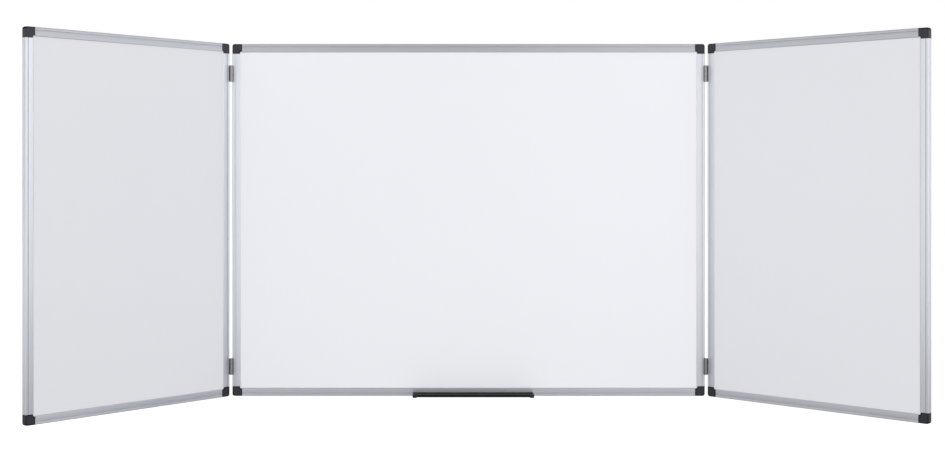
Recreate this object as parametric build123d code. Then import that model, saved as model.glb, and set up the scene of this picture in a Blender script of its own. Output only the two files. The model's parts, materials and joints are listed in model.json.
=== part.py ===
from build123d import *
import os
from math import sqrt

# A wall-hung folding whiteboard: one wide centre panel and two half-width wings on hinges.
# Millimetres. X runs right, Z runs up, the wall is the plane Y = 0 and the reader stands at -Y.
# The origin is the middle of the four wall screws, on the wall.

# Panels
panel_width = 1200.0
panel_height = 894.0
wing_meeting_gap = 3.0
hinge_side_gap = 2.9

# Aluminium rail section: "inset" sizes are measured inwards from the rail's outer edge
rail_face = 21.0
rail_depth = 14.6
rail_wall = 1.3
rail_corner_radius = 2.2
rail_lip = 1.6
channel_web = 1.4
band_drop = 0.25
nose_width = 1.4
nose_drop = 0.6
side_groove_width = 1.6
side_groove_depth = 0.5

# Accessory groove in both faces of the rail, undercut towards the board
groove_inset = 6.2
groove_width = 1.8
groove_lip = 0.9
groove_depth = 2.2
groove_undercut = 1.6
groove_floor = 0.9

# Board sandwich
sheet_thickness = 0.5
sheet_edge_clearance = 0.3

# Corner caps
cap_beyond_rail = 4.0
cap_notch = 4.8
cap_arm_taper = 1.4
cap_corner_radius = 6.0
cap_proud = 0.3
cap_edge_round = 2.4
cap_inner_edge_round = 0.6
cap_slot_clearance = 0.1
spigot_length = 22.0
spigot_clearance = 0.15
spigot_chamfer = 1.2
pad_inset = 2.8
pad_raise = 0.5
pad_edge_round = 0.35

# Wall screw seats in the centre panel's caps, and the covers over them
wall_screw_inset = 7.1
wall_screw_hole_radius = 2.4
wall_screw_head_radius = 4.1
wall_screw_seat = 4.8
cover_seat_depth = 1.0
cover_clearance = 0.1
cover_plug_wall = 0.9
cover_plug_length = 2.5

# Hinges
hinge_end_distance = 75.5
hinge_barrel_radius = 5.2
barrel_rail_clearance = 0.5
hinge_height = 40.0
knuckle_gap = 0.3
knuckle_clearance = 0.3
hinge_leaf_gap = 0.3
leaf_margin = 1.8
pin_radius = 2.5
pin_clearance = 0.05
pin_head_radius = 3.4
pin_head_height = 0.8
pin_head_round = 0.5

# Leaf screws
screw_radius = 1.45
screw_head_radius = 2.6
screw_tip_gap = 1.4
screw_end_distance = 8.0
screw_hole_clearance = 0.05
screw_recess_width = 0.6
screw_recess_length = 2.8
screw_recess_depth = 0.7
screw_tip_chamfer = 0.7

# Pen tray: heights are above the lower edge of the frame, reaches are forward of the rail's face
tray_offset = 10.5
tray_length = 303.5
tray_reach = 65.0
tray_wall = 1.8
tray_floor_height = 5.4
tray_front_radius = 7.0
tray_lip_rise = 1.0
tray_back_rise = 1.5
tray_flange_foot = 2.4
tray_running_gap = 0.15
end_cap_plate = 2.0
end_cap_wrap = 8.0
end_cap_rim = 1.6
end_cap_fit = 0.1
end_cap_rise = 0.6
end_cap_edge_round = 0.6

# Wings stand open as in the photograph: degrees forward of flat on the wall
left_wing_angle = 49.0
right_wing_angle = 45.5

# Worked out from the sizes above
half_depth = rail_depth / 2
cap_half_depth = half_depth + cap_proud
overall_half_depth = cap_half_depth + pad_raise
mid_y = -overall_half_depth
rail_front_y = mid_y - half_depth
wing_width = (panel_width - wing_meeting_gap) / 2
cap_length = rail_face + cap_beyond_rail
board_half_depth = half_depth - rail_lip
groove_end = groove_inset + groove_width
chamber_end = groove_end + groove_undercut
channel_inset = chamber_end + channel_web
frame_bottom = -panel_height / 2

# The hinge axis stands just far enough forward for the barrel to clear the rails' rounded corners
axis_to_corner = hinge_barrel_radius + barrel_rail_clearance + rail_corner_radius
corner_aside = hinge_side_gap / 2 + rail_corner_radius
hinge_axis_forward = sqrt(axis_to_corner**2 - corner_aside**2) - rail_corner_radius
hinge_axis_x = (panel_width + hinge_side_gap) / 2
hinge_axis_y = rail_front_y - hinge_axis_forward
leaf_thickness = (hinge_side_gap - hinge_leaf_gap) / 2
screw_length = leaf_thickness + chamber_end - screw_tip_gap

# The tray's tongue fills the groove apart from the running gap
tongue_neck = groove_width - 2 * tray_running_gap
tongue_hook = groove_depth - groove_lip - 2 * tray_running_gap
tray_back_height = groove_end + tray_back_rise
tray_lip_height = tray_floor_height + tray_front_radius + tray_lip_rise


def rail_section():
    """Rail cross-section: X is the inset from the outer edge, Y is the height off mid-depth."""
    band = half_depth - band_drop
    front = [
        (0, side_groove_width / 2),
        (0, half_depth),
        (groove_inset, half_depth),
        (groove_inset, half_depth - groove_depth),
        (chamber_end, half_depth - groove_depth),
        (chamber_end, half_depth - groove_lip),
        (groove_end, half_depth - groove_lip),
        (groove_end, band),
        (rail_face - nose_width, band),
        (rail_face, band - nose_drop),
        (rail_face, board_half_depth),
        (channel_inset, board_half_depth),
    ]
    side_groove = [(side_groove_depth, side_groove_width / 2)]
    upper = side_groove + front
    lower = [(u, -v) for u, v in reversed(upper)]
    outline = make_face(Polyline(*upper, *lower, close=True))
    edge_corners = [
        v for v in outline.vertices() if abs(v.X) < 1e-6 and abs(abs(v.Y) - half_depth) < 1e-6
    ]
    outline = fillet(edge_corners, rail_corner_radius)
    wide = half_depth - rail_wall
    narrow = half_depth - groove_depth - groove_floor
    step = groove_inset - groove_floor
    chamber_upper = [(rail_wall, wide), (step, wide), (step, narrow), (chamber_end, narrow)]
    chamber_lower = [(u, -v) for u, v in reversed(chamber_upper)]
    return outline - make_face(Polyline(*chamber_upper, *chamber_lower, close=True))


def straight_rail(start, inward, along, length):
    """A rail whose outer edge starts at a point and runs a length along a direction."""
    plane = Plane(origin=start, x_dir=inward, z_dir=along)
    return extrude(plane * rail_section(), length)


def corner_outline(grow=0.0):
    """Cap outline on XY with the panel's outer corner at the origin, grown by a distance."""
    reach = cap_length + grow
    notch = reach - cap_notch
    arm = notch - cap_arm_taper
    points = [(-grow, -grow), (reach, -grow), (reach, arm), (notch, notch), (arm, reach), (-grow, reach)]
    outline = make_face(Polyline(*points, close=True))
    corner = outline.vertices().sort_by(lambda v: v.X + v.Y)[0]
    return fillet(corner, cap_corner_radius + grow)


def slab(outline, low, high):
    """An outline on XY made into a plate between two heights."""
    return Pos(0, 0, low) * extrude(outline, high - low)


def face_rims(plate):
    """The edges around the lowest and the highest face of a plate on XY."""
    levels = plate.faces().sort_by(Axis.Z)
    return levels[0].edges() + levels[-1].edges()


def spigot():
    """The arm that enters the chamber of the rail along X."""
    narrow = half_depth - groove_depth - groove_floor
    width = chamber_end - rail_wall - 2 * spigot_clearance
    height = 2 * (narrow - spigot_clearance)
    root = cap_length / 2
    length = cap_length + spigot_length - root
    arm = Pos(root, rail_wall + spigot_clearance, 0) * Box(
        length, width, height, align=(Align.MIN, Align.MIN, Align.CENTER)
    )
    return chamfer(arm.faces().sort_by(Axis.X)[-1].edges(), spigot_chamfer)


def corner_cap(with_wall_screw):
    """A cap on XY with its corner at the origin and its front towards +Z."""
    body = slab(corner_outline(), -cap_half_depth, cap_half_depth)
    outer_rims = [edge for edge in face_rims(body) if min(edge.center().X, edge.center().Y) < pad_inset]
    body = fillet(outer_rims, cap_edge_round)
    inner_rims = [edge for edge in face_rims(body) if min(edge.center().X, edge.center().Y) > pad_inset]
    body = fillet(inner_rims, cap_inner_edge_round)
    pad = slab(corner_outline(-pad_inset), -overall_half_depth, overall_half_depth)
    body += fillet(face_rims(pad), pad_edge_round)
    slot_start = channel_inset - cap_slot_clearance
    body -= Pos(slot_start, slot_start, 0) * Box(
        cap_length, cap_length, 2 * board_half_depth, align=(Align.MIN, Align.MIN, Align.CENTER)
    )
    across = spigot()
    body += across
    body += mirror(across, Plane((0, 0, 0), x_dir=(1, 1, 0), z_dir=(1, -1, 0)))
    if with_wall_screw:
        seat_level = cap_half_depth - cover_seat_depth
        body -= slab(corner_outline(-pad_inset), seat_level, 2 * overall_half_depth)
        centre = Pos(wall_screw_inset, wall_screw_inset, 0)
        body -= centre * Cylinder(wall_screw_hole_radius, 4 * overall_half_depth)
        body -= centre * slab(
            Circle(wall_screw_head_radius).face(),
            wall_screw_seat - overall_half_depth,
            2 * overall_half_depth,
        )
    return body


def screw_cover():
    """The snap-in plate over a wall screw, in the same place as its cap."""
    seat_level = cap_half_depth - cover_seat_depth
    plate = slab(corner_outline(-pad_inset - cover_clearance), seat_level, overall_half_depth)
    plate = fillet(plate.faces().sort_by(Axis.Z)[-1].edges(), pad_edge_round)
    outer = wall_screw_head_radius - cover_clearance
    ring = Circle(outer).face() - Circle(outer - cover_plug_wall).face()
    centre = Pos(wall_screw_inset, wall_screw_inset, 0)
    return plate + centre * slab(ring, seat_level - cover_plug_length, seat_level)


def at_corner(shape, side_x, side_z, width, centre_x):
    """Put a corner piece on a panel's corner: side_x and side_z are -1 or 1."""
    upright = Rot(90, 0, 0) * shape
    if side_x > 0:
        upright = mirror(upright, Plane.YZ)
    if side_z > 0:
        upright = mirror(upright, Plane.XY)
    return Pos(centre_x + side_x * width / 2, mid_y, side_z * panel_height / 2) * upright


def board_layer(width, centre_x, level, thickness):
    """One layer of the board: level is the distance of its middle behind the panel's middle."""
    margin = channel_inset + sheet_edge_clearance
    return Pos(centre_x, mid_y + level, 0) * Box(
        width - 2 * margin, thickness, panel_height - 2 * margin
    )


def panel(name, width, centre_x, sides, layers, with_wall_screws):
    """All pieces of one panel lying flat on the wall; sides names its left and right ends."""
    left = centre_x - width / 2
    right = centre_x + width / 2
    level = width - 2 * cap_length
    upright = panel_height - 2 * cap_length
    low_x = left + cap_length
    low_z = frame_bottom + cap_length
    pieces = {
        f"{name}_rail_top": straight_rail((low_x, mid_y, -frame_bottom), (0, 0, -1), (1, 0, 0), level),
        f"{name}_rail_bottom": straight_rail((low_x, mid_y, frame_bottom), (0, 0, 1), (1, 0, 0), level),
        f"{name}_rail_{sides[0]}": straight_rail((left, mid_y, low_z), (1, 0, 0), (0, 0, 1), upright),
        f"{name}_rail_{sides[1]}": straight_rail((right, mid_y, low_z), (-1, 0, 0), (0, 0, 1), upright),
    }
    cap = corner_cap(with_wall_screws)
    cover = screw_cover()
    for side_z, height in ((1, "top"), (-1, "bottom")):
        for side_x, side in zip((-1, 1), sides):
            place = (side_x, side_z, width, centre_x)
            pieces[f"{name}_corner_cap_{height}_{side}"] = at_corner(cap, *place)
            if with_wall_screws:
                pieces[f"{name}_screw_cover_{height}_{side}"] = at_corner(cover, *place)
    core = 2 * (board_half_depth - sheet_thickness)
    skin_level = board_half_depth - sheet_thickness / 2
    pieces[f"{name}_{layers[0]}"] = board_layer(width, centre_x, -skin_level, sheet_thickness)
    pieces[f"{name}_core_board"] = board_layer(width, centre_x, 0, core)
    pieces[f"{name}_{layers[1]}"] = board_layer(width, centre_x, skin_level, sheet_thickness)
    return pieces


def knuckle_spans():
    """Lowest and highest heights of the three knuckles about the hinge's middle, lowest first."""
    tall = (hinge_height - 2 * knuckle_gap) / 3
    step = tall + knuckle_gap
    return [(-tall / 2 + step * n, tall / 2 + step * n) for n in (-1, 0, 1)]


def leaf_screw_heights():
    """Heights of a leaf's two screws about the hinge's middle."""
    offset = hinge_height / 2 - screw_end_distance
    return (-offset, offset)


def leaf(knuckles):
    """A right-hand fixed leaf about its hinge axis at the origin, with the given knuckles."""
    side_x = -hinge_side_gap / 2
    clear_of_barrel = hinge_barrel_radius + knuckle_clearance
    back = hinge_axis_forward + rail_depth - leaf_margin
    near = (Align.MIN, Align.MIN, Align.CENTER)
    body = Pos(side_x, clear_of_barrel, 0) * Box(
        leaf_thickness, back - clear_of_barrel, hinge_height, align=near
    )
    for low, high in knuckles:
        middle = (low + high) / 2
        body += Pos(0, 0, middle) * Cylinder(hinge_barrel_radius, high - low)
        body += Pos(side_x, 0, middle) * Box(leaf_thickness, clear_of_barrel, high - low, align=near)
    body -= Cylinder(pin_radius + pin_clearance, 2 * hinge_height)
    for height in leaf_screw_heights():
        body -= at_leaf_screw(screw_sink(), height)
    return body


def screw_sink():
    """The countersunk hole in a leaf, axis along -Z with its mouth at the origin."""
    through = screw_radius + screw_hole_clearance
    mouth = screw_head_radius + screw_hole_clearance
    depth = leaf_thickness
    cone = Pos(0, 0, -depth / 2) * Cone(through, mouth, depth)
    return cone + Pos(0, 0, -depth) * Cylinder(through, 2 * depth)


def leaf_screw():
    """A countersunk screw pointing along -Z with its head's face at the origin."""
    head = Pos(0, 0, -leaf_thickness / 2) * Cone(screw_radius, screw_head_radius, leaf_thickness)
    shank = Pos(0, 0, -screw_length) * Cylinder(
        screw_radius, screw_length - leaf_thickness / 2, align=(Align.CENTER, Align.CENTER, Align.MIN)
    )
    shank = chamfer(shank.edges().sort_by(Axis.Z)[0], screw_tip_chamfer)
    body = head + shank
    for turn in (0, 90):
        body -= Rot(0, 0, turn) * Box(screw_recess_length, screw_recess_width, 2 * screw_recess_depth)
    return body


def at_leaf_screw(shape, height):
    """Turn a screw shape to enter the rail's outer side from the hinge axis's side."""
    inner_face = leaf_thickness - hinge_side_gap / 2
    return Pos(inner_face, hinge_axis_forward + half_depth, height) * Rot(0, 90, 0) * shape


def hinge_pin():
    """The pin with a rounded head at each end, about the hinge's middle."""
    body = Cylinder(pin_radius, hinge_height)
    for side in (-1, 1):
        head_middle = side * (hinge_height + pin_head_height) / 2
        head = Pos(0, 0, head_middle) * Cylinder(pin_head_radius, pin_head_height)
        rim = head.edges().sort_by(Axis.Z)[-1 if side > 0 else 0]
        body += fillet(rim, pin_head_round)
    return body


def hinge_place(side, height):
    """Where a hinge drawn for the right side goes: side is -1 or 1."""
    return lambda shape: Pos(side * hinge_axis_x, hinge_axis_y, height) * (
        shape if side > 0 else mirror(shape, Plane.YZ)
    )


def tray_outline(grow, rise, back):
    """The tray's filled end view: X is the reach from the rail's face, Y the height."""
    radius = tray_front_radius + grow
    floor = tray_floor_height - grow
    front = tray_reach + grow
    bend = CenterArc((front - radius, floor + radius), radius, -90, 90)
    sides = Polyline(
        (front, floor + radius),
        (front, tray_lip_height + rise),
        (back, tray_back_height + rise),
        (back, floor),
        (front - radius, floor),
    )
    return make_face([bend, *sides.edges()])


def tray_section():
    """The tray's extruded end view, with the flange and the tongue that hold it on the rail."""
    outer = tray_outline(0, 0, tray_running_gap)
    trough = tray_outline(-tray_wall, 2 * tray_lip_height, tray_running_gap + tray_wall)
    section = outer - trough
    bottom_left = (Align.MIN, Align.MIN)
    section += Pos(tray_running_gap, tray_flange_foot) * Rectangle(
        tray_wall, tray_back_height - tray_flange_foot, align=bottom_left
    )
    tongue_low = groove_inset + tray_running_gap
    tongue_tip = tray_running_gap - groove_depth
    section += Pos(tongue_tip, tongue_low) * Rectangle(
        2 * tray_running_gap - tongue_tip, tongue_neck, align=bottom_left
    )
    hook = chamber_end - tray_running_gap - tongue_low
    section += Pos(tongue_tip, tongue_low) * Rectangle(tongue_hook, hook, align=bottom_left)
    return section


def along_tray(section, start, length):
    """Extrude an end view along the rail from a distance right of the tray's middle."""
    plane = Plane(
        origin=(tray_offset + start, rail_front_y, frame_bottom), x_dir=(0, -1, 0), z_dir=(-1, 0, 0)
    )
    return extrude(plane * section, -length)


def tray_end_cap(side):
    """A cap that closes one end of the tray and wraps its floor and front."""
    inner = tray_length / 2 - end_cap_plate
    plate = along_tray(tray_outline(end_cap_rim, end_cap_rise, 2 * tray_running_gap), inner, end_cap_plate)
    plate = fillet(plate.faces().sort_by(Axis.X)[-1].edges(), end_cap_edge_round)
    behind = tray_running_gap + tray_wall + end_cap_fit
    rim = tray_outline(end_cap_rim, end_cap_rise, behind)
    rim -= tray_outline(end_cap_fit, 2 * tray_lip_height, 0)
    body = plate + along_tray(rim, inner - end_cap_wrap, end_cap_wrap)
    return body if side > 0 else mirror(body, Plane.YZ.offset(tray_offset))


def swing(pieces, side, angle):
    """Swing a wing's pieces forward about its hinge axis."""
    axis = Axis((side * hinge_axis_x, hinge_axis_y, 0), (0, 0, -side))
    return {name: shape.rotate(axis, angle) for name, shape in pieces.items()}


parts = panel(
    "centre", panel_width, 0, ("left", "right"), ("writing_surface", "backing_sheet"), True
)
hinge_level = panel_height / 2 - hinge_end_distance
wing_middle = panel_width / 2 + hinge_side_gap + wing_width / 2
bottom_knuckle, middle_knuckle, top_knuckle = knuckle_spans()
fixed_leaf = leaf([bottom_knuckle, top_knuckle])
moving_leaf = mirror(leaf([middle_knuckle]), Plane.YZ)
screws = [at_leaf_screw(leaf_screw(), height) for height in leaf_screw_heights()]
screw_hole = at_leaf_screw(
    Cylinder(screw_radius + screw_hole_clearance, 2 * (leaf_thickness + rail_wall)), 0
)

for side, side_name, angle in ((-1, "left", left_wing_angle), (1, "right", right_wing_angle)):
    wing = f"{side_name}_wing"
    ends = ("outer", "hinge_side") if side < 0 else ("hinge_side", "outer")
    moving = panel(
        wing, wing_width, side * wing_middle, ends, ("front_writing_surface", "rear_writing_surface"), False
    )
    fixed_screws = []
    moving_screws = []
    for level_name, level in (("upper", hinge_level), ("lower", -hinge_level)):
        put = hinge_place(side, level)
        parts[f"{side_name}_{level_name}_hinge_fixed_leaf"] = put(fixed_leaf)
        moving[f"{side_name}_{level_name}_hinge_moving_leaf"] = put(moving_leaf)
        parts[f"{side_name}_{level_name}_hinge_pin"] = put(hinge_pin())
        fixed_screws += [put(screw) for screw in screws]
        moving_screws += [put(mirror(screw, Plane.YZ)) for screw in screws]
        for height in leaf_screw_heights():
            drill = Pos(0, 0, height) * screw_hole
            parts[f"centre_rail_{side_name}"] -= put(drill)
            moving[f"{wing}_rail_hinge_side"] -= put(mirror(drill, Plane.YZ))
    parts[f"{side_name}_fixed_leaf_screws"] = Compound(fixed_screws)
    moving[f"{side_name}_moving_leaf_screws"] = Compound(moving_screws)
    parts.update(swing(moving, side, angle))

tray_body_length = tray_length - 2 * end_cap_plate
parts["pen_tray"] = along_tray(tray_section(), -tray_body_length / 2, tray_body_length)
parts["pen_tray_end_cap_left"] = tray_end_cap(-1)
parts["pen_tray_end_cap_right"] = tray_end_cap(1)

os.makedirs("parts", exist_ok=True)
for name, shape in parts.items():
    export_step(shape, f"parts/{name}.step")
print(f"{len(parts)} nodes written")
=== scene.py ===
import json
import math
import bpy
from mathutils import Matrix, Vector


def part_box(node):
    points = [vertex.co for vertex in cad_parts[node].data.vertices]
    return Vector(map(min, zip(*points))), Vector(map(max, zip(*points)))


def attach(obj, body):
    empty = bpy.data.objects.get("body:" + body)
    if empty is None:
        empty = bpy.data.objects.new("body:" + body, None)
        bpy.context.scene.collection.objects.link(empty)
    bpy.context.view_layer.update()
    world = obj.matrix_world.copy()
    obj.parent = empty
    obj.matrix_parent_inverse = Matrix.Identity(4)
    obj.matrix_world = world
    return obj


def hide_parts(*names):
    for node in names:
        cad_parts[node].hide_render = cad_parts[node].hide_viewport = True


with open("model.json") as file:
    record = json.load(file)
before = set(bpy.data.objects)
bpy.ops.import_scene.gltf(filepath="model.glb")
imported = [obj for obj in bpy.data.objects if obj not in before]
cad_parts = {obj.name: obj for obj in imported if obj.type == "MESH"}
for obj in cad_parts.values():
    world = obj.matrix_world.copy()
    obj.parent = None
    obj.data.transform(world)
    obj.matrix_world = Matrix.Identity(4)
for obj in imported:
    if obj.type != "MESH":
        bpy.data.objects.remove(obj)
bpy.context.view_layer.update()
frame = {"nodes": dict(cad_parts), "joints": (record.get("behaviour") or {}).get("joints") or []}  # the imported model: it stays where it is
nodes = frame["nodes"]
joints = frame["joints"]
print("frame loaded,", len(nodes), "nodes")

mm = 0.001  # one millimetre in metres


# Helpers for building trees of nodes

def addNode(tree, kind, settings=None, feeds=None):
    node = tree.nodes.new(kind)
    for key, value in (settings or {}).items():
        setattr(node, key, value)
    for key, value in (feeds or {}).items():
        if isinstance(value, bpy.types.NodeSocket):
            tree.links.new(value, node.inputs[key])
        else:
            node.inputs[key].default_value = value
    return node


def newGroup(name, kind, takes, gives):
    # a node group with named inputs (name, socket, default) and outputs (name, socket)
    tree = bpy.data.node_groups.new(name, kind)
    for label, socketType, value in takes:
        socket = tree.interface.new_socket(name=label, in_out="INPUT", socket_type=socketType)
        if value is not None:
            socket.default_value = value
    for label, socketType in gives:
        tree.interface.new_socket(name=label, in_out="OUTPUT", socket_type=socketType)
    return tree, tree.nodes.new("NodeGroupInput").outputs, tree.nodes.new("NodeGroupOutput").inputs


def useGroup(tree, group, feeds):
    return addNode(tree, "ShaderNodeGroup", {"node_tree": group}, feeds)


def calc(tree, operation, *values):
    # one Math node
    node = addNode(tree, "ShaderNodeMath", {"operation": operation}, dict(enumerate(values)))
    return node.outputs[0]


def mixColours(tree, mask, first, second):
    feeds = {0: mask, 6: first, 7: second}
    return addNode(tree, "ShaderNodeMix", {"data_type": "RGBA"}, feeds).outputs[2]


def mapRange(tree, value, fromPair, toPair, smooth=False):
    settings = {"interpolation_type": "SMOOTHSTEP"} if smooth else None
    return addNode(tree, "ShaderNodeMapRange", settings, {
        "Value": value, "From Min": fromPair[0], "From Max": fromPair[1],
        "To Min": toPair[0], "To Max": toPair[1],
    }).outputs[0]


def shrink(tree, vector, size):
    # the vector in units of one size, for a pattern of that size
    feeds = {0: vector, "Scale": calc(tree, "DIVIDE", 1.0, size)}
    return addNode(tree, "ShaderNodeVectorMath", {"operation": "SCALE"}, feeds).outputs[0]


def newMaterial(name):
    material = bpy.data.materials.new(name)
    material.use_nodes = True
    material.node_tree.nodes.clear()
    return material, material.node_tree


def closeMaterial(tree, shader):
    addNode(tree, "ShaderNodeOutputMaterial", None, {"Surface": shader})


def namedAttribute(tree, name, kind):
    node = addNode(tree, "GeometryNodeInputNamedAttribute", {"data_type": kind}, {"Name": name})
    return node.outputs["Attribute"]


def creaseShading(tree, geometry, creaseAngle):
    # smooth all over, but sharp where two faces meet at more than the angle
    angle = addNode(tree, "GeometryNodeInputMeshEdgeAngle").outputs["Unsigned Angle"]
    test = {"data_type": "FLOAT", "operation": "GREATER_THAN"}
    sharp = addNode(tree, "FunctionNodeCompare", test, {0: angle, 1: creaseAngle})
    smooth = addNode(tree, "GeometryNodeSetShadeSmooth", {"domain": "FACE"}, {
        "Geometry": geometry, "Shade Smooth": True,
    })
    return addNode(tree, "GeometryNodeSetShadeSmooth", {"domain": "EDGE"}, {
        "Geometry": smooth.outputs[0], "Selection": sharp.outputs[0], "Shade Smooth": False,
    }).outputs[0]


# Effects that several finishes share

patternDetail = {"grain": 2.0, "lines": 3.0, "clouds": 4.0}
lineRoughness = 0.6  # how much of the die lines is in their finer steps
cloudRange = (0.15, 0.85)  # the part of the noise that the two colours span


def makeFineGrain():
    # moulded or cast grain: a fine speckle, the same in every direction
    tree, takes, gives = newGroup(
        "fineGrain", "ShaderNodeTree",
        [("Vector", "NodeSocketVector", None), ("Grain Size", "NodeSocketFloat", 0.0004)],
        [("Grain", "NodeSocketFloat")],
    )
    speckle = addNode(tree, "ShaderNodeTexNoise", None, {
        "Vector": shrink(tree, takes["Vector"], takes["Grain Size"]), "Scale": 1.0,
        "Detail": patternDetail["grain"],
    })
    tree.links.new(speckle.outputs["Fac"], gives["Grain"])
    return tree


def makeDieLines():
    # the drawn lines an extrusion die leaves: x runs across them and y along them, in metres
    tree, takes, gives = newGroup(
        "dieLines", "ShaderNodeTree",
        [
            ("Vector", "NodeSocketVector", None),
            ("Line Width", "NodeSocketFloat", 0.0003),
            ("Line Length", "NodeSocketFloat", 0.4),
        ],
        [("Lines", "NodeSocketFloat")],
    )
    split = addNode(tree, "ShaderNodeSeparateXYZ", None, {0: takes["Vector"]})
    across = calc(tree, "DIVIDE", split.outputs[0], takes["Line Width"])
    along = calc(tree, "DIVIDE", split.outputs[1], takes["Line Length"])
    stretched = addNode(tree, "ShaderNodeCombineXYZ", None, {0: across, 1: along})
    lines = addNode(tree, "ShaderNodeTexNoise", {"noise_dimensions": "2D"}, {
        "Vector": stretched.outputs[0], "Scale": 1.0,
        "Detail": patternDetail["lines"], "Roughness": lineRoughness,
    })
    tree.links.new(lines.outputs["Fac"], gives["Lines"])
    return tree


def makeCloudedTint():
    # slow drift between two colours, with the mask for roughness
    tree, takes, gives = newGroup(
        "cloudedTint", "ShaderNodeTree",
        [
            ("Vector", "NodeSocketVector", None),
            ("Cloud Size", "NodeSocketFloat", 0.2),
            ("Light Colour", "NodeSocketColor", (1, 1, 1, 1)),
            ("Dark Colour", "NodeSocketColor", (0, 0, 0, 1)),
        ],
        [("Colour", "NodeSocketColor"), ("Cloud", "NodeSocketFloat")],
    )
    cloud = addNode(tree, "ShaderNodeTexNoise", None, {
        "Vector": shrink(tree, takes["Vector"], takes["Cloud Size"]), "Scale": 1.0,
        "Detail": patternDetail["clouds"],
    })
    spread = mapRange(tree, cloud.outputs["Fac"], cloudRange, (0.0, 1.0), smooth=True)
    tint = mixColours(tree, spread, takes["Dark Colour"], takes["Light Colour"])
    tree.links.new(tint, gives["Colour"])
    tree.links.new(spread, gives["Cloud"])
    return tree


fineGrain = makeFineGrain()
dieLines = makeDieLines()
cloudedTint = makeCloudedTint()
print("shared effects made")


# Finishes

def coordinates(tree, output="Object"):
    return addNode(tree, "ShaderNodeTexCoord").outputs[output]


def placeTint(tree, surface, look):
    return useGroup(tree, cloudedTint, {
        "Vector": surface, "Cloud Size": look["cloudSize"],
        "Light Colour": look["light"], "Dark Colour": look["dark"],
    }).outputs


def placeGrain(tree, surface, look):
    grain = useGroup(tree, fineGrain, {"Vector": surface, "Grain Size": look["grain"]})
    return grain.outputs["Grain"]


def placeLines(tree, surface, look):
    lines = useGroup(tree, dieLines, {
        "Vector": surface, "Line Width": look["lineWidth"], "Line Length": look["lineLength"],
    })
    return lines.outputs["Lines"]


def placeBump(tree, height, depth):
    return addNode(tree, "ShaderNodeBump", None, {
        "Strength": 1.0, "Distance": depth, "Height": height,
    }).outputs[0]


aluminiumLook = {
    "light": (0.680, 0.695, 0.742, 1),
    "dark": (0.650, 0.665, 0.712, 1),
    "cloudSize": 0.12,
    "metallic": 0.7,
    "roughness": (0.30, 0.38),
    "lineWidth": 0.35 * mm,
    "lineLength": 0.6,
    "lineDepth": 0.012 * mm,
    "anisotropy": 0.95,
}


def makeAluminium(look):
    material, tree = newMaterial("anodisedAluminium")
    surface = coordinates(tree, "UV")
    tint = placeTint(tree, surface, look)
    lines = placeLines(tree, surface, look)
    brushing = {"direction_type": "UV_MAP", "uv_map": "sectionMap"}
    tangent = addNode(tree, "ShaderNodeTangent", brushing)
    shader = addNode(tree, "ShaderNodeBsdfPrincipled", None, {
        "Base Color": tint["Colour"],
        "Metallic": look["metallic"],
        "Roughness": mapRange(tree, lines, (0.0, 1.0), look["roughness"]),
        "Anisotropic": look["anisotropy"],
        "Normal": placeBump(tree, lines, look["lineDepth"]),
        "Tangent": tangent.outputs[0],
    })
    closeMaterial(tree, shader.outputs[0])
    return material


enamelLook = {
    "light": (0.830, 0.841, 0.868, 1),
    "dark": (0.823, 0.835, 0.862, 1),
    "cloudSize": 0.35,
    "roughness": (0.28, 0.30),
    "grain": 2.5 * mm,  # the slight orange peel of sprayed lacquer
    "grainDepth": 0.004 * mm,
}


def makeEnamel(look):
    material, tree = newMaterial("whiteEnamel")
    surface = coordinates(tree)
    tint = placeTint(tree, surface, look)
    shader = addNode(tree, "ShaderNodeBsdfPrincipled", None, {
        "Base Color": tint["Colour"],
        "Roughness": mapRange(tree, tint["Cloud"], (0.0, 1.0), look["roughness"]),
        "Normal": placeBump(tree, placeGrain(tree, surface, look), look["grainDepth"]),
    })
    closeMaterial(tree, shader.outputs[0])
    return material


cornerLook = {
    "light": (0.017, 0.018, 0.028, 1),
    "dark": (0.010, 0.011, 0.018, 1),
    # painted shade: the rims' darker colour stands in for the shade on their rounded edges
    "rim": (0.003, 0.003, 0.005, 1),
    "cloudSize": 0.02,
    "roughness": (0.30, 0.42),
    "rimRoughness": 0.20,
    "grain": 0.45 * mm,
    "grainDepth": 0.015 * mm,
    "plateLevel": (7.70 * mm, 7.95 * mm),  # distance from mid-panel where the raised plate starts
}


def makeCornerPlastic(name, look, swing, middle):
    # polished black all round, with fine grain on the raised plates, and the rims around the plates
    # painted darker as painted shade for their rounded edges; swing brings the panel flat
    material, tree = newMaterial(name)
    surface = coordinates(tree)
    place, turn = swing.inverted().decompose()[:2]
    flat = addNode(tree, "ShaderNodeMapping", None, {
        "Vector": surface, "Location": place, "Rotation": turn.to_euler(),
    })
    depth = addNode(tree, "ShaderNodeSeparateXYZ", None, {0: flat.outputs[0]}).outputs[1]
    offset = calc(tree, "ABSOLUTE", calc(tree, "SUBTRACT", depth, middle))
    plate = mapRange(tree, offset, look["plateLevel"], (0.0, 1.0), smooth=True)
    tint = placeTint(tree, surface, look)
    grain = placeGrain(tree, surface, look)
    grained = mapRange(tree, grain, (0.0, 1.0), look["roughness"])
    roughness = addNode(tree, "ShaderNodeMix", {"data_type": "FLOAT"}, {
        0: plate, 2: look["rimRoughness"], 3: grained,
    })
    shader = addNode(tree, "ShaderNodeBsdfPrincipled", None, {
        # painted shade: outside the raised plates the colour goes to the darker rim colour
        "Base Color": mixColours(tree, plate, look["rim"], tint["Colour"]),
        "Roughness": roughness.outputs[0],
        "Normal": placeBump(tree, calc(tree, "MULTIPLY", grain, plate), look["grainDepth"]),
    })
    closeMaterial(tree, shader.outputs[0])
    return material


trayEndLook = {
    "light": (0.014, 0.014, 0.016, 1),
    "dark": (0.009, 0.009, 0.011, 1),
    "cloudSize": 0.02,
    "roughness": (0.40, 0.52),
    "grain": 0.5 * mm,
    "grainDepth": 0.02 * mm,
}


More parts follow.
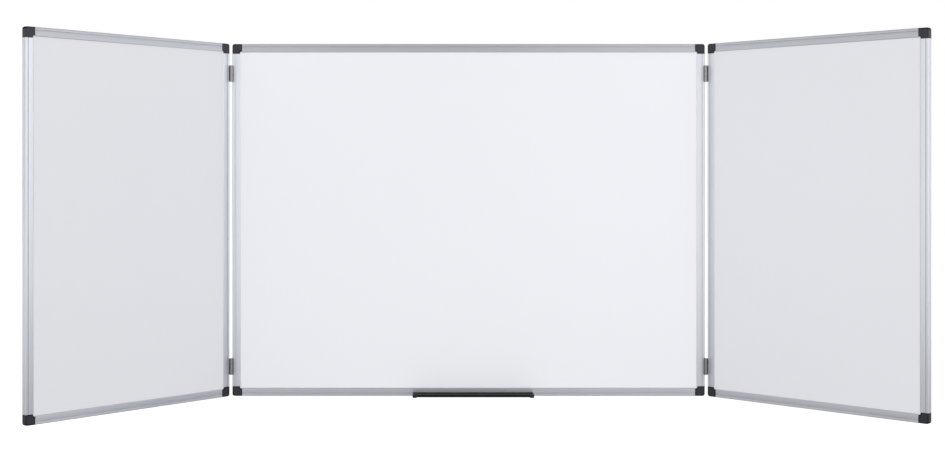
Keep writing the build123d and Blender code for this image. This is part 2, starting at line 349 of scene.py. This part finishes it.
def makeTrayEndPlastic(look):
    material, tree = newMaterial("trayEndPlastic")
    surface = coordinates(tree)
    grain = placeGrain(tree, surface, look)
    shader = addNode(tree, "ShaderNodeBsdfPrincipled", None, {
        "Base Color": placeTint(tree, surface, look)["Colour"],
        "Roughness": mapRange(tree, grain, (0.0, 1.0), look["roughness"]),
        "Normal": placeBump(tree, grain, look["grainDepth"]),
    })
    closeMaterial(tree, shader.outputs[0])
    return material


trayLook = {
    "light": (0.010, 0.010, 0.012, 1),
    "dark": (0.007, 0.007, 0.009, 1),
    "specular": 0.28,
    "cloudSize": 0.08,
    "roughness": (0.34, 0.46),
    "lineWidth": 0.5 * mm,
    "lineLength": 0.3,
    "lineDepth": 0.012 * mm,
}


def makeTrayPlastic(look):
    material, tree = newMaterial("trayPlastic")
    surface = coordinates(tree, "UV")
    lines = placeLines(tree, surface, look)
    shader = addNode(tree, "ShaderNodeBsdfPrincipled", None, {
        "Base Color": placeTint(tree, surface, look)["Colour"],
        "Roughness": mapRange(tree, lines, (0.0, 1.0), look["roughness"]),
        "Specular IOR Level": look["specular"],
        "Normal": placeBump(tree, lines, look["lineDepth"]),
    })
    closeMaterial(tree, shader.outputs[0])
    return material


# in both looks, turned is a painted shade: the colour that the sides turned away from the view
# darken to
metalLooks = {
    "darkNickel": {
        "light": (0.33, 0.33, 0.34, 1),
        "dark": (0.26, 0.26, 0.27, 1),
        "turned": (0.03, 0.03, 0.034, 1),
        "paintedShadeSpan": (-0.15, 2.6),
        "cloudSize": 0.01,
        "roughness": (0.20, 0.28),
        "grain": 0.25 * mm,
        "grainDepth": 0.004 * mm,
    },
    "zincPlate": {
        "light": (0.62, 0.62, 0.60, 1),
        "dark": (0.46, 0.46, 0.45, 1),
        "turned": (0.36, 0.36, 0.36, 1),
        "paintedShadeSpan": (-0.15, 2.6),
        "cloudSize": 0.003,
        "roughness": (0.28, 0.42),
        "grain": 0.15 * mm,
        "grainDepth": 0.006 * mm,
    },
}


def makePlatedMetal(name, look):
    # painted shade: the base colour darkens to the turned colour on the sides that turn away from
    # the view, standing in for the dark reflections at a barrel's edges
    material, tree = newMaterial(name)
    surface = coordinates(tree)
    tint = placeTint(tree, surface, look)
    facing = addNode(tree, "ShaderNodeLayerWeight", None, {"Blend": 0.5})
    # painted shade: Layer Weight's facing darkens the colour towards the edges
    turned = mapRange(tree, facing.outputs["Facing"], (0.0, 1.0), look["paintedShadeSpan"])
    shader = addNode(tree, "ShaderNodeBsdfPrincipled", None, {
        "Base Color": mixColours(tree, turned, tint["Colour"], look["turned"]),
        "Metallic": 1.0,
        "Roughness": mapRange(tree, tint["Cloud"], (0.0, 1.0), look["roughness"]),
        "Normal": placeBump(tree, placeGrain(tree, surface, look), look["grainDepth"]),
    })
    closeMaterial(tree, shader.outputs[0])
    return material


galvanisedLook = {
    "light": (0.60, 0.62, 0.64, 1),
    "dark": (0.47, 0.49, 0.51, 1),
    "spangle": 9 * mm,
    "metallic": 0.9,
    "roughness": (0.36, 0.55),
    "grain": 0.6 * mm,
    "grainDepth": 0.01 * mm,
}


def makeGalvanised(look):
    # zinc spangle: flat crystals, each with its own grey
    material, tree = newMaterial("galvanisedSteel")
    surface = coordinates(tree)
    flat = addNode(tree, "ShaderNodeMapping", None, {"Vector": surface, "Scale": (1, 0, 1)})
    crystals = addNode(tree, "ShaderNodeTexVoronoi", None, {
        "Vector": flat.outputs[0], "Scale": 1 / look["spangle"], "Randomness": 1.0,
    })
    shades = addNode(tree, "ShaderNodeSeparateColor", None, {0: crystals.outputs["Color"]})
    shade = shades.outputs[0]
    shader = addNode(tree, "ShaderNodeBsdfPrincipled", None, {
        "Base Color": mixColours(tree, shade, look["dark"], look["light"]),
        "Metallic": look["metallic"],
        "Roughness": mapRange(tree, shade, (0.0, 1.0), look["roughness"]),
        "Normal": placeBump(tree, placeGrain(tree, surface, look), look["grainDepth"]),
    })
    closeMaterial(tree, shader.outputs[0])
    return material


fibreLook = {
    "light": (0.52, 0.40, 0.26, 1),
    "dark": (0.38, 0.28, 0.17, 1),
    "cloudSize": 0.004,
    "roughness": 0.9,
    "grain": 0.8 * mm,
    "grainDepth": 0.1 * mm,
}


def makeFibreBoard(look):
    material, tree = newMaterial("fibreBoard")
    surface = coordinates(tree)
    shader = addNode(tree, "ShaderNodeBsdfPrincipled", None, {
        "Base Color": placeTint(tree, surface, look)["Colour"],
        "Roughness": look["roughness"],
        "Normal": placeBump(tree, placeGrain(tree, surface, look), look["grainDepth"]),
    })
    closeMaterial(tree, shader.outputs[0])
    return material


aluminium = makeAluminium(aluminiumLook)
enamel = makeEnamel(enamelLook)
trayEndPlastic = makeTrayEndPlastic(trayEndLook)
trayPlastic = makeTrayPlastic(trayLook)
darkNickel = makePlatedMetal("darkNickel", metalLooks["darkNickel"])
zincPlate = makePlatedMetal("zincPlate", metalLooks["zincPlate"])
galvanised = makeGalvanised(galvanisedLook)
fibreBoard = makeFibreBoard(fibreLook)
print("finishes made")


# Where each body stands, and where it would be with its wing flat on the wall

def swingOf(body):
    for joint in joints:
        if joint["child"] == body and joint["type"] == "hinge":
            place = Matrix.Translation(Vector(joint["pos_m"]))
            turn = Matrix.Rotation(math.radians(-joint["range_deg"][0]), 4, Vector(joint["axis"]))
            return place @ turn @ place.inverted()
    return Matrix.Identity(4)


def flatBox(name, swing):
    back = swing.inverted()
    points = [back @ vertex.co for vertex in nodes[name].data.vertices]
    low = Vector([min(point[axis] for point in points) for axis in range(3)])
    high = Vector([max(point[axis] for point in points) for axis in range(3)])
    return low, high


# The CAD pieces that keep their shape get their finish here

def cornerPlastics():
    low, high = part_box("centre_rail_top")
    middle = (low.y + high.y) / 2
    return {
        body: makeCornerPlastic(body + "CornerPlastic", cornerLook, swingOf(body), middle)
        for body in ("centre_panel", "left_wing", "right_wing")
    }


cornerPlastic = cornerPlastics()


def finishFor(name):
    if "writing_surface" in name:
        return enamel
    if "core_board" in name:
        return fibreBoard
    if "backing_sheet" in name:
        return galvanised
    if "pen_tray_end_cap" in name:
        return trayEndPlastic
    if "corner_cap" in name or "screw_cover" in name:
        return cornerPlastic[name.split("_corner")[0] if "wing" in name else "centre_panel"]
    return darkNickel


for name, node in nodes.items():
    if "_rail_" not in name and "_screws" not in name and name != "pen_tray":
        for index in range(len(node.material_slots)):
            node.material_slots[index].material = finishFor(name)


# Extruded sections, swept by Geometry Nodes

def keepDistance(tree, curve, label):
    # the curve, with the distance along it kept for the surface that is swept from it
    node = addNode(tree, "GeometryNodeCaptureAttribute", {"domain": "POINT"})
    node.capture_items.new("FLOAT", label)
    distance = addNode(tree, "GeometryNodeSplineParameter").outputs["Length"]
    tree.links.new(curve, node.inputs[0])
    tree.links.new(distance, node.inputs[1])
    return node.outputs[0], node.outputs[1]


def makeSectionSweep():
    # a closed section, its corners rounded, run along a straight line, with a map in metres
    tree, takes, gives = newGroup(
        "sectionSweep", "GeometryNodeTree",
        [
            ("Section", "NodeSocketGeometry", None),
            ("Length", "NodeSocketFloat", 1.0),
            ("Pattern Start", "NodeSocketFloat", 0.0),
            ("Crease Angle", "NodeSocketFloat", math.radians(24)),
            ("Finish", "NodeSocketMaterial", None),
        ],
        [("Geometry", "NodeSocketGeometry")],
    )
    outline = addNode(tree, "GeometryNodeMeshToCurve", None, {0: takes["Section"]})
    rounded = addNode(tree, "GeometryNodeFilletCurve", {"mode": "POLY"}, {
        "Curve": outline.outputs[0], "Count": namedAttribute(tree, "cornerSteps", "INT"),
        "Radius": namedAttribute(tree, "cornerRound", "FLOAT"), "Limit Radius": True,
    })
    section, around = keepDistance(tree, rounded.outputs[0], "Around")
    end = addNode(tree, "ShaderNodeCombineXYZ", None, {2: takes["Length"]})
    run = addNode(tree, "GeometryNodeCurvePrimitiveLine", None, {"End": end.outputs[0]})
    path, along = keepDistance(tree, run.outputs[0], "Along")
    swept = addNode(tree, "GeometryNodeCurveToMesh", None, {
        "Curve": path, "Profile Curve": section, "Fill Caps": True,
    })
    shifted = calc(tree, "ADD", along, takes["Pattern Start"])
    mapPoint = addNode(tree, "ShaderNodeCombineXYZ", None, {0: around, 1: shifted})
    mapKind = {"data_type": "FLOAT2", "domain": "CORNER"}
    mapped = addNode(tree, "GeometryNodeStoreNamedAttribute", mapKind, {
        "Geometry": swept.outputs[0], "Name": "sectionMap", "Value": mapPoint.outputs[0],
    })
    creased = creaseShading(tree, mapped.outputs[0], takes["Crease Angle"])
    real = addNode(tree, "GeometryNodeRealizeInstances", None, {0: creased})
    painted = addNode(tree, "GeometryNodeSetMaterial", None, {
        "Geometry": real.outputs[0], "Material": takes["Finish"],
    })
    tree.links.new(painted.outputs[0], gives["Geometry"])
    return tree


def runTree(name, startMesh, tree, values):
    # runs a Geometry Nodes tree on a mesh and keeps its result as a plain mesh
    piece = bpy.data.objects.new(name, startMesh)
    bpy.context.scene.collection.objects.link(piece)
    modifier = piece.modifiers.new("shape", "NODES")
    modifier.node_group = tree
    for item in tree.interface.items_tree:
        if item.item_type == "SOCKET" and item.in_out == "INPUT" and item.name in values:
            modifier[item.identifier] = values[item.name]
    bpy.context.view_layer.update()
    evaluated = piece.evaluated_get(bpy.context.evaluated_depsgraph_get())
    done = bpy.data.meshes.new_from_object(evaluated)
    finish = done.materials[-1]  # a Boolean leaves an empty slot before the finish
    done.materials.clear()
    done.materials.append(finish)
    done.polygons.foreach_set("material_index", [0] * len(done.polygons))
    piece.modifiers.clear()
    piece.data = done
    done.name = name
    return piece


def sectionMesh(name, corners):
    # a closed outline from (x, y, rounding, steps) rows in millimetres
    mesh = bpy.data.meshes.new(name)
    count = len(corners)
    points = [(row[0] * mm, row[1] * mm, 0) for row in corners]
    mesh.from_pydata(points, [(index, (index + 1) % count) for index in range(count)], [])
    rounding = mesh.attributes.new("cornerRound", "FLOAT", "POINT")
    rounding.data.foreach_set("value", [row[2] * mm for row in corners])
    steps = mesh.attributes.new("cornerSteps", "INT", "POINT")
    steps.data.foreach_set("value", [row[3] for row in corners])
    return mesh


railSection = {  # millimetres from the rail's outer edge and from mid-panel
    "face": 21.0, "halfDepth": 7.3, "channelInset": 11.0, "boardHalfDepth": 5.7,
    "cornerRadius": 2.2, "bandDrop": 0.25, "noseWidth": 1.4, "noseDrop": 0.6,
    "sideGrooveHalf": 0.8, "sideGrooveDepth": 0.5, "sideGrooveRound": 0.15,
    "grooveInset": 6.6, "grooveEnd": 7.6, "grooveLip": 0.9, "grooveDepth": 2.2, "chamberEnd": 9.6,
    "edgeRound": 0.22, "noseRound": 0.5, "noseTipRound": 0.3, "channelRound": 0.1,
}
railPatternStep = 1.7  # metres of brushing from one rail to the next, so that no two are alike


def railCorners(size):
    # x runs inward from the outer edge, y from mid-panel to the front or the back
    deep = size["halfDepth"]
    band = deep - size["bandDrop"]
    edge = size["edgeRound"]
    nose = size["noseRound"]
    upper = [
        (size["sideGrooveDepth"], size["sideGrooveHalf"], size["sideGrooveRound"], 2),
        (0, size["sideGrooveHalf"], edge, 3),
        (0, deep, size["cornerRadius"], 12),
        (size["grooveInset"], deep, edge, 3),
        (size["grooveInset"], deep - size["grooveDepth"], 0, 1),
        (size["chamberEnd"], deep - size["grooveDepth"], 0, 1),
        (size["chamberEnd"], deep - size["grooveLip"], 0, 1),
        (size["grooveEnd"], deep - size["grooveLip"], edge, 3),
        (size["grooveEnd"], band, edge, 3),
        (size["face"] - size["noseWidth"], band, nose, 4),
        (size["face"], band - size["noseDrop"], size["noseTipRound"], 4),
        (size["face"], size["boardHalfDepth"], size["channelRound"], 2),
        (size["channelInset"], size["boardHalfDepth"], 0, 1),
    ]
    lower = [(x, -y, rounding, steps) for x, y, rounding, steps in reversed(upper)]
    return lower + upper  # starts and ends in the hidden channel, so the seam is there


sweep = makeSectionSweep()
railPlaces = {  # directions inward and along, and the corner of its box where the rail starts
    "top": ((0, 0, -1), (1, 0, 0), (0, 1)),
    "bottom": ((0, 0, 1), (1, 0, 0), (0, 0)),
    "left": ((1, 0, 0), (0, 0, 1), (0, 0)),
    "right": ((-1, 0, 0), (0, 0, 1), (1, 0)),
}
panelRails = {  # body, and what its left and right rails are called
    "centre": ("centre_panel", {"left": "left", "right": "right"}),
    "left_wing": ("left_wing", {"left": "outer", "right": "hinge_side"}),
    "right_wing": ("right_wing", {"left": "hinge_side", "right": "outer"}),
}


def makeRails():
    corners = railCorners(railSection)
    order = 0
    for panel, (body, sides) in panelRails.items():
        swing = swingOf(body)
        for side, (inward, along, corner) in railPlaces.items():
            sideName = sides.get(side, side)
            node = f"{panel}_rail_{sideName}"
            inward, along = Vector(inward), Vector(along)
            ends = low, high = flatBox(node, swing)
            words = f"{panel}_{sideName}_rail".split("_")
            name = words[0] + "".join(word.title() for word in words[1:])
            piece = runTree(name, sectionMesh(name, corners), sweep, {
                "Length": (high - low).dot(along), "Pattern Start": order * railPatternStep,
                "Finish": aluminium,
            })
            place = Matrix((inward, along.cross(inward), along)).transposed().to_4x4()
            place.translation = (ends[corner[0]].x, (low.y + high.y) / 2, ends[corner[1]].z)
            piece.data.transform(swing @ place)
            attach(piece, body)
            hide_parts(node)
            order += 1
    print("rails made:", order)


makeRails()


# Leaf screws, set in rows by Geometry Nodes

screwSizes = {  # millimetres
    "headRadius": 2.6, "headHeight": 1.3, "rimChamfer": 0.12, "rootRadius": 1.1, "length": 9.5,
    "tip": 1.4, "threadPitch": 0.9, "threadRise": 0.35,
    "crossLength": 2.8, "crossWidth": 0.62, "crossDepth": 0.7, "spacing": 24.0,
}
screwDetail = {"tipShare": 0.4, "sides": 40, "turnSteps": 20, "seed": 11}


def makeScrewSet():
    # a countersunk screw with a cross and a thread, on each point and turned at random
    tree, takes, gives = newGroup(
        "screwSet", "GeometryNodeTree",
        [
            ("Places", "NodeSocketGeometry", None),
            ("Head Radius", "NodeSocketFloat", 0.0026),
            ("Head Height", "NodeSocketFloat", 0.0013),
            ("Rim Chamfer", "NodeSocketFloat", 0.0001),
            ("Root Radius", "NodeSocketFloat", 0.0011),
            ("Length", "NodeSocketFloat", 0.0095),
            ("Tip", "NodeSocketFloat", 0.0014),
            ("Thread Pitch", "NodeSocketFloat", 0.0009),
            ("Thread Rise", "NodeSocketFloat", 0.00035),
            ("Cross Length", "NodeSocketFloat", 0.0028),
            ("Cross Width", "NodeSocketFloat", 0.0006),
            ("Cross Depth", "NodeSocketFloat", 0.0007),
            ("Tip Share", "NodeSocketFloat", 0.4),
            ("Sides", "NodeSocketInt", 40),
            ("Turn Steps", "NodeSocketInt", 20),
            ("Crease Angle", "NodeSocketFloat", math.radians(30)),
            ("Seed", "NodeSocketInt", 0),
            ("Finish", "NodeSocketMaterial", None),
        ],
        [("Geometry", "NodeSocketGeometry")],
    )

    def lift(geometry, height):
        place = addNode(tree, "ShaderNodeCombineXYZ", None, {2: height}).outputs[0]
        feeds = {"Geometry": geometry, "Translation": place}
        return addNode(tree, "GeometryNodeTransform", None, feeds).outputs[0]

    def turnedCone(lowRadius, highRadius, low, high):
        cone = addNode(tree, "GeometryNodeMeshCone", {"fill_type": "NGON"}, {
            "Vertices": takes["Sides"], "Radius Top": highRadius, "Radius Bottom": lowRadius,
            "Depth": calc(tree, "SUBTRACT", high, low),
        })
        return lift(cone.outputs[0], low)

    chamfer, root, rim = takes["Rim Chamfer"], takes["Root Radius"], takes["Head Radius"]
    rimLevel = calc(tree, "MULTIPLY", chamfer, -1.0)
    neckLevel = calc(tree, "MULTIPLY", takes["Head Height"], -1.0)
    endLevel = calc(tree, "MULTIPLY", takes["Length"], -1.0)
    tipLevel = calc(tree, "ADD", endLevel, takes["Tip"])
    flat = turnedCone(rim, calc(tree, "SUBTRACT", rim, chamfer), rimLevel, 0.0)
    sunk = turnedCone(root, rim, neckLevel, rimLevel)
    shank = turnedCone(root, root, tipLevel, neckLevel)
    point = turnedCone(calc(tree, "MULTIPLY", root, takes["Tip Share"]), root, endLevel, tipLevel)
    joining = {"operation": "UNION", "solver": "EXACT"}
    cutting = {"operation": "DIFFERENCE", "solver": "EXACT"}
    solid = addNode(tree, "GeometryNodeMeshBoolean", joining)
    for part in (flat, sunk, shank, point):
        tree.links.new(part, solid.inputs["Mesh 2"])
    cross = addNode(tree, "GeometryNodeMeshBoolean", cutting, {"Mesh 1": solid.outputs[0]})
    long, wide = takes["Cross Length"], takes["Cross Width"]
    deep = calc(tree, "MULTIPLY", takes["Cross Depth"], 2.0)  # half of each blade is above the head
    for x, y in ((long, wide), (wide, long)):
        blade = addNode(tree, "ShaderNodeCombineXYZ", None, {0: x, 1: y, 2: deep})
        cutter = addNode(tree, "GeometryNodeMeshCube", None, {"Size": blade.outputs[0]})
        tree.links.new(cutter.outputs[0], cross.inputs["Mesh 2"])
    threadLength = calc(tree, "SUBTRACT", neckLevel, tipLevel)
    spiral = addNode(tree, "GeometryNodeCurveSpiral", None, {
        "Resolution": takes["Turn Steps"],
        "Rotations": calc(tree, "DIVIDE", threadLength, takes["Thread Pitch"]),
        "Start Radius": root, "End Radius": root, "Height": threadLength,
    })
    ridge = addNode(tree, "GeometryNodeCurvePrimitiveCircle", None, {  # three points, a V ridge
        "Resolution": 3, "Radius": takes["Thread Rise"],
    })
    thread = addNode(tree, "GeometryNodeCurveToMesh", None, {
        "Curve": spiral.outputs[0], "Profile Curve": ridge.outputs[0], "Fill Caps": True,
    })
    screw = addNode(tree, "GeometryNodeJoinGeometry")
    tree.links.new(cross.outputs[0], screw.inputs[0])
    tree.links.new(lift(thread.outputs[0], tipLevel), screw.inputs[0])
    aimed = addNode(tree, "FunctionNodeAlignRotationToVector", {"axis": "Z"}, {
        "Vector": namedAttribute(tree, "facing", "FLOAT_VECTOR"),
    })
    spin = addNode(tree, "FunctionNodeRandomValue", {"data_type": "FLOAT"}, {
        2: 0.0, 3: math.tau, "Seed": takes["Seed"],
    })
    turn = addNode(tree, "FunctionNodeAxisAngleToRotation", None, {
        "Axis": (0, 0, 1), "Angle": spin.outputs[1],
    })
    turned = addNode(tree, "FunctionNodeRotateRotation", {"rotation_space": "LOCAL"}, {
        "Rotation": aimed.outputs[0], "Rotate By": turn.outputs[0],
    })
    placed = addNode(tree, "GeometryNodeInstanceOnPoints", None, {
        "Points": takes["Places"], "Instance": screw.outputs[0], "Rotation": turned.outputs[0],
    })
    real = addNode(tree, "GeometryNodeRealizeInstances", None, {0: placed.outputs[0]})
    painted = addNode(tree, "GeometryNodeSetMaterial", None, {
        "Geometry": creaseShading(tree, real.outputs[0], takes["Crease Angle"]),
        "Material": takes["Finish"],
    })
    tree.links.new(painted.outputs[0], gives["Geometry"])
    return tree


screwSet = makeScrewSet()
screwRows = {  # piece: body, then node and the direction its screw heads face
    "centreLeafScrews": (
        "centre_panel", (("left_fixed_leaf_screws", -1), ("right_fixed_leaf_screws", 1)),
    ),
    "leftWingLeafScrews": ("left_wing", (("left_moving_leaf_screws", 1),)),
    "rightWingLeafScrews": ("right_wing", (("right_moving_leaf_screws", -1),)),
}


def makeLeafScrews():
    size = screwSizes
    values = {
        "Head Radius": size["headRadius"] * mm, "Head Height": size["headHeight"] * mm,
        "Rim Chamfer": size["rimChamfer"] * mm, "Root Radius": size["rootRadius"] * mm,
        "Length": size["length"] * mm, "Tip": size["tip"] * mm,
        "Thread Pitch": size["threadPitch"] * mm, "Thread Rise": size["threadRise"] * mm,
        "Cross Length": size["crossLength"] * mm, "Cross Width": size["crossWidth"] * mm,
        "Cross Depth": size["crossDepth"] * mm, "Tip Share": screwDetail["tipShare"],
        "Sides": screwDetail["sides"], "Turn Steps": screwDetail["turnSteps"],
        "Seed": screwDetail["seed"], "Finish": zincPlate,
    }
    for name, (body, rows) in screwRows.items():
        swing = swingOf(body)
        places = []
        facing = []
        for node, side in rows:
            low, high = flatBox(node, swing)
            headPlane = high.x if side > 0 else low.x
            outer = high.z - size["headRadius"] * mm
            for level in (outer, outer - size["spacing"] * mm):
                for height in (-level, level):
                    places.append((headPlane, (low.y + high.y) / 2, height))
                    facing += [side, 0, 0]
        mesh = bpy.data.meshes.new(name)
        mesh.from_pydata(places, [], [])
        directions = mesh.attributes.new("facing", "FLOAT_VECTOR", "POINT")
        directions.data.foreach_set("vector", facing)
        piece = runTree(name, mesh, screwSet, values)
        piece.data.transform(swing)
        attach(piece, body)
        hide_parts(*[node for node, side in rows])
        print("leaf screws made:", name, len(places))


makeLeafScrews()


# The pen tray, swept along the lower rail

traySection = {  # millimetres
    "gap": 0.15, "reach": 65.0, "wall": 1.8, "floor": 5.4, "frontRadius": 7.0,
    "lip": 13.4, "lipSlope": 0.12, "lipRound": 0.7, "back": 9.5, "flangeFoot": 2.4,
    "tongueLow": 6.7, "tongueHigh": 7.5, "tongueTip": 2.05, "hook": 1.0, "hookHigh": 9.45,
    "hookRound": 0.15, "floorRound": 0.8, "edgeRound": 0.4,
}


def trayCorners(size):
    # x is the reach in front of the rail, y the height over the frame's lower edge
    gap, wall = size["gap"], size["wall"]
    edge, hookRound = size["edgeRound"], size["hookRound"]
    inner = size["reach"] - wall
    hookFace = size["hook"] - size["tongueTip"]
    return [
        (gap, size["tongueLow"], 0, 1),
        (gap, size["flangeFoot"], edge, 3),
        (gap + wall, size["flangeFoot"], edge, 3),
        (gap + wall, size["floor"], edge, 3),
        (size["reach"], size["floor"], size["frontRadius"], 14),
        (size["reach"], size["lip"], size["lipRound"], 4),
        (inner, size["lip"] - size["lipSlope"], size["lipRound"], 4),
        (inner, size["floor"] + wall, size["frontRadius"] - wall, 12),
        (gap + wall, size["floor"] + wall, size["floorRound"], 4),
        (gap + wall, size["back"], edge, 3),
        (gap, size["back"], edge, 3),
        (gap, size["tongueHigh"], 0, 1),
        (hookFace, size["tongueHigh"], 0, 1),
        (hookFace, size["hookHigh"], hookRound, 2),
        (-size["tongueTip"], size["hookHigh"], hookRound, 2),
        (-size["tongueTip"], size["tongueLow"], hookRound, 2),
    ]


def makeTray():
    low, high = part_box("pen_tray")
    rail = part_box("centre_rail_bottom")[0]
    piece = runTree("penTray", sectionMesh("penTray", trayCorners(traySection)), sweep, {
        "Length": high.x - low.x, "Finish": trayPlastic,
    })
    place = Matrix(((0, 0, 1, low.x), (-1, 0, 0, rail.y), (0, 1, 0, rail.z), (0, 0, 0, 1)))
    piece.data.transform(place)
    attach(piece, "pen_tray")
    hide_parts("pen_tray")
    return piece


tray = makeTray()
print("pen tray made", [round(v, 4) for v in tray.dimensions])


# Studio: floor, lamps, background and camera

floorLook = {
    "level": -1.30,
    "size": 60.0,
    "colour": (0.27, 0.27, 0.275, 1),
    "glow": 0.84,  # what the camera sees on top of the light that falls on it
    "mirrorReach": (3.0, 13.0),  # metres over which its glow in mirrors grows
    "mirrorGlow": (0.05, 0.95),
}
skyLook = {  # the soft light on the object: even, and more from one side
    "colour": (0.985, 0.99, 1.0, 1),
    "even": 0.30,
    "front": 1.38,
    "frontFrom": (-0.05, -0.90, 0.42),
}
mirrorLook = {  # what shiny pieces show: a level band of light, by height, side and rear
    "level": 1.42,
    "lift": 0.09,
    "band": (0.10, 0.26),
    "beyondBand": 0.17,
    "top": (0.60, 0.90),
    "topLevel": 0.12,
    "side": (0.45, 0.90),
    "sideLeft": 0.86,
    "sideRight": 1.16,
    "dip": (0.03, 0.14),
    "dipLevel": 0.42,
    "rear": (-0.05, 0.42),
    "rearTurn": (-0.7, 0.7),
    "rearLevel": (0.38, 0.48),
}
lamps = {  # all of them aim at the origin
    "keyLamp": {
        "place": (1.5, -5.2, -0.3), "size": 2.8, "power": 56, "colour": (1.0, 0.995, 0.985),
    },
    "fillLamp": {
        "place": (-2.2, -5.8, 0.0), "size": 3.0, "power": 12, "colour": (0.98, 0.99, 1.0),
    },
    "rearLeftLamp": {"place": (-2.6, 4.6, 0.6), "size": 3.0, "power": 85, "colour": (1, 1, 1)},
    "rearRightLamp": {"place": (2.6, 4.6, 0.6), "size": 3.0, "power": 85, "colour": (1, 1, 1)},
}
cameraView = {  # level and square to the wall; the shift puts the board where the photo has it
    "place": (-0.0815, -3.7724, 0.1141),
    "lens": 56.36,
    "sensor": 36.0,
    "shift": (0.0381, -0.0539),
    "clipEnd": 200.0,
}
white = (1, 1, 1, 1)


def rayKinds(tree):
    # masks of the rays straight from the camera, and of those by way of a mirror or glass
    rays = addNode(tree, "ShaderNodeLightPath").outputs
    mirrored = calc(tree, "MAXIMUM", rays["Is Glossy Ray"], rays["Is Transmission Ray"])
    return rays["Is Camera Ray"], mirrored


def makeFloor(look):
    half = look["size"] / 2
    corners = [(-half, -half), (half, -half), (half, half), (-half, half)]
    mesh = bpy.data.meshes.new("studioFloor")
    mesh.from_pydata([(x, y, look["level"]) for x, y in corners], [], [(0, 1, 2, 3)])
    floor = bpy.data.objects.new("studioFloor", mesh)
    bpy.context.scene.collection.objects.link(floor)
    material, tree = newMaterial("studioFloor")
    paper = addNode(tree, "ShaderNodeBsdfDiffuse", None, {"Color": look["colour"]})
    direct, mirrored = rayKinds(tree)
    away = addNode(tree, "ShaderNodeVectorMath", {"operation": "LENGTH"}, {0: coordinates(tree)})
    distance = away.outputs["Value"]
    reach = mapRange(tree, distance, look["mirrorReach"], look["mirrorGlow"], smooth=True)
    mirrorGlow = calc(tree, "MULTIPLY", mirrored, reach)
    seen = calc(tree, "MULTIPLY_ADD", direct, look["glow"], mirrorGlow)
    glow = addNode(tree, "ShaderNodeEmission", None, {"Strength": seen})
    lit = addNode(tree, "ShaderNodeAddShader", None, {0: paper.outputs[0], 1: glow.outputs[0]})
    clear = addNode(tree, "ShaderNodeBsdfTransparent")
    side = addNode(tree, "ShaderNodeNewGeometry")  # from below the floor is not there
    oneSided = addNode(tree, "ShaderNodeMixShader", None, {
        0: side.outputs["Backfacing"], 1: lit.outputs[0], 2: clear.outputs[0],
    })
    closeMaterial(tree, oneSided.outputs[0])
    mesh.materials.append(material)


def makeWorld(sky, mirror):
    world = bpy.data.worlds.new("studio")
    bpy.context.scene.world = world
    world.use_nodes = True
    tree = world.node_tree
    tree.nodes.clear()
    direct, mirrored = rayKinds(tree)
    direction = addNode(tree, "ShaderNodeTexCoord").outputs["Generated"]
    x, y, z = addNode(tree, "ShaderNodeSeparateXYZ", None, {0: direction}).outputs

    def ramp(value, span, low, high):
        return mapRange(tree, value, span, (low, high), smooth=True)

    def times(first, second):
        return calc(tree, "MULTIPLY", first, second)

    def background(colour, strength):
        feeds = {"Color": colour, "Strength": strength}
        return addNode(tree, "ShaderNodeBackground", None, feeds).outputs[0]

    def choose(mask, first, second):
        return addNode(tree, "ShaderNodeMixShader", None, {0: mask, 1: first, 2: second}).outputs[0]

    facing = addNode(tree, "ShaderNodeVectorMath", {"operation": "DOT_PRODUCT"}, {
        0: direction, 1: Vector(sky["frontFrom"]).normalized(),
    })
    front = calc(tree, "MAXIMUM", facing.outputs["Value"], 0.0)
    skyLevel = calc(tree, "MULTIPLY_ADD", front, sky["front"], sky["even"])
    height = calc(tree, "ABSOLUTE", calc(tree, "SUBTRACT", z, mirror["lift"]))
    band = ramp(height, mirror["band"], 1.0, mirror["beyondBand"])
    top = ramp(z, mirror["top"], 0.0, mirror["topLevel"])
    left = ramp(times(x, -1.0), mirror["side"], 1.0, mirror["sideLeft"])
    right = ramp(x, mirror["side"], 1.0, mirror["sideRight"])
    middle = ramp(calc(tree, "ABSOLUTE", x), mirror["dip"], mirror["dipLevel"], 1.0)
    around = times(times(left, right), middle)
    lit = calc(tree, "ADD", times(times(band, around), mirror["level"]), top)
    behind = ramp(y, mirror["rear"], 0.0, 1.0)
    rear = ramp(x, mirror["rearTurn"], *mirror["rearLevel"])
    dim = times(behind, calc(tree, "SUBTRACT", 1.0, rear))
    mirrorLevel = times(lit, calc(tree, "SUBTRACT", 1.0, dim))
    light = choose(mirrored, background(sky["colour"], skyLevel), background(white, mirrorLevel))
    shown = choose(direct, light, background(white, 1.0))
    addNode(tree, "ShaderNodeOutputWorld", None, {0: shown})


def makeLamps():
    for name, lamp in lamps.items():
        light = bpy.data.lights.new(name, "AREA")
        light.size = lamp["size"]
        light.energy = lamp["power"]
        light.color = lamp["colour"]
        item = bpy.data.objects.new(name, light)
        item.location = lamp["place"]
        item.rotation_mode = "QUATERNION"
        item.rotation_quaternion = (-item.location).to_track_quat("-Z", "Y")
        item.visible_camera = False
        item.visible_glossy = False  # metal shows the world's soft bands, not the lamps' edges
        bpy.context.scene.collection.objects.link(item)


def makeCamera(view):
    lens = bpy.data.cameras.new("photoView")
    lens.lens = view["lens"]
    lens.sensor_width = view["sensor"]
    lens.shift_x, lens.shift_y = view["shift"]
    lens.clip_end = view["clipEnd"]
    item = bpy.data.objects.new("photoView", lens)
    item.location = view["place"]
    item.rotation_euler = (math.pi / 2, 0, 0)
    bpy.context.scene.collection.objects.link(item)
    bpy.context.scene.camera = item


makeFloor(floorLook)
makeWorld(skyLook, mirrorLook)
makeLamps()
makeCamera(cameraView)
bpy.context.scene.view_settings.view_transform = "Standard"
print("studio made")
